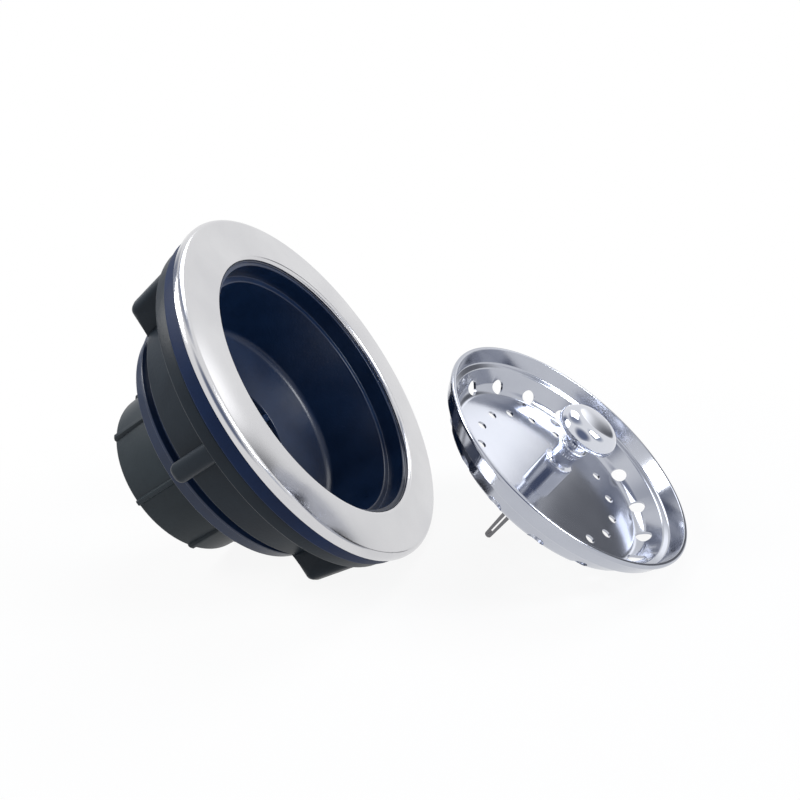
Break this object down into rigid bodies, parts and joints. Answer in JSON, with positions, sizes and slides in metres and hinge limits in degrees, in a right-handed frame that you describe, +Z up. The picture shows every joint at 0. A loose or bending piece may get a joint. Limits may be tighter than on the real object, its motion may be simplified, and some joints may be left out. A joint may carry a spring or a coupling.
{
  "type": "kitchen sink drain",
  "caption": "Basket strainer sink drain lying on its side, with steel flange, gasket, lugged lock nut, ribbed coupling nut and the holed basket with its pull knob lifted out beside it.",
  "frame": {"origin": "on the floor under the middle of the box around the drain and its basket", "axes": "+Z up from the floor; the drain's axis lies in the XZ plane, its flange face towards +X and up, its outlet towards -X and down; the basket lies on the +X side"},
  "size_m": [0.1684, 0.114, 0.1031],
  "materials": {
    "flange_ring": "polished stainless steel",
    "drain_body": "satin dark moulded plastic",
    "sink_gasket": "dull black rubber",
    "lock_nut": "satin charcoal plastic",
    "coupling_washer": "dull black rubber",
    "coupling_nut": "satin charcoal plastic",
    "basket_bowl": "polished stainless steel",
    "basket_knob": "polished chrome",
    "stopper_seal": "dull black rubber",
    "seal_retainer": "plain steel",
    "spring_post": "plain spring steel"
  },
  "bodies": {
    "drain": {"flange_ring": "flange_ring", "drain_body": "drain_body", "basket_bowl": "basket_bowl", "basket_knob": "basket_knob", "stopper_seal": "stopper_seal", "seal_retainer": "seal_retainer", "spring_post": "spring_post"},
    "gasket": {"sink_gasket": "sink_gasket"},
    "lock_nut": {"lock_nut": "lock_nut"},
    "washer": {"coupling_washer": "coupling_washer"},
    "coupling_nut": {"coupling_nut": "coupling_nut"}
  },
  "joints": [
    {"name": "gasket_slide", "type": "slide", "parent": "drain", "child": "gasket", "axis": [-0.8787, 0, -0.4774], "range_m": [0, 0.0096]},
    {"name": "lock_nut_turn", "type": "hinge", "parent": "gasket", "child": "lock_nut", "pos_m": [-0.02804, 0, 0.04829], "axis": [-0.8787, 0, -0.4774], "range_deg": [0, 1080]},
    {"name": "washer_slide", "type": "slide", "parent": "drain", "child": "washer", "axis": [-0.8787, 0, -0.4774], "range_m": [0, 0.0064]},
    {"name": "coupling_nut_turn", "type": "hinge", "parent": "washer", "child": "coupling_nut", "pos_m": [-0.07072, 0, 0.0251], "axis": [-0.8787, 0, -0.4774], "range_deg": [0, 720]}
  ],
  "couplings": [
    {"joint": "gasket_slide", "follows": "lock_nut_turn", "m_per_rad": 0.0005093},
    {"joint": "washer_slide", "follows": "coupling_nut_turn", "m_per_rad": 0.0005093}
  ]
}
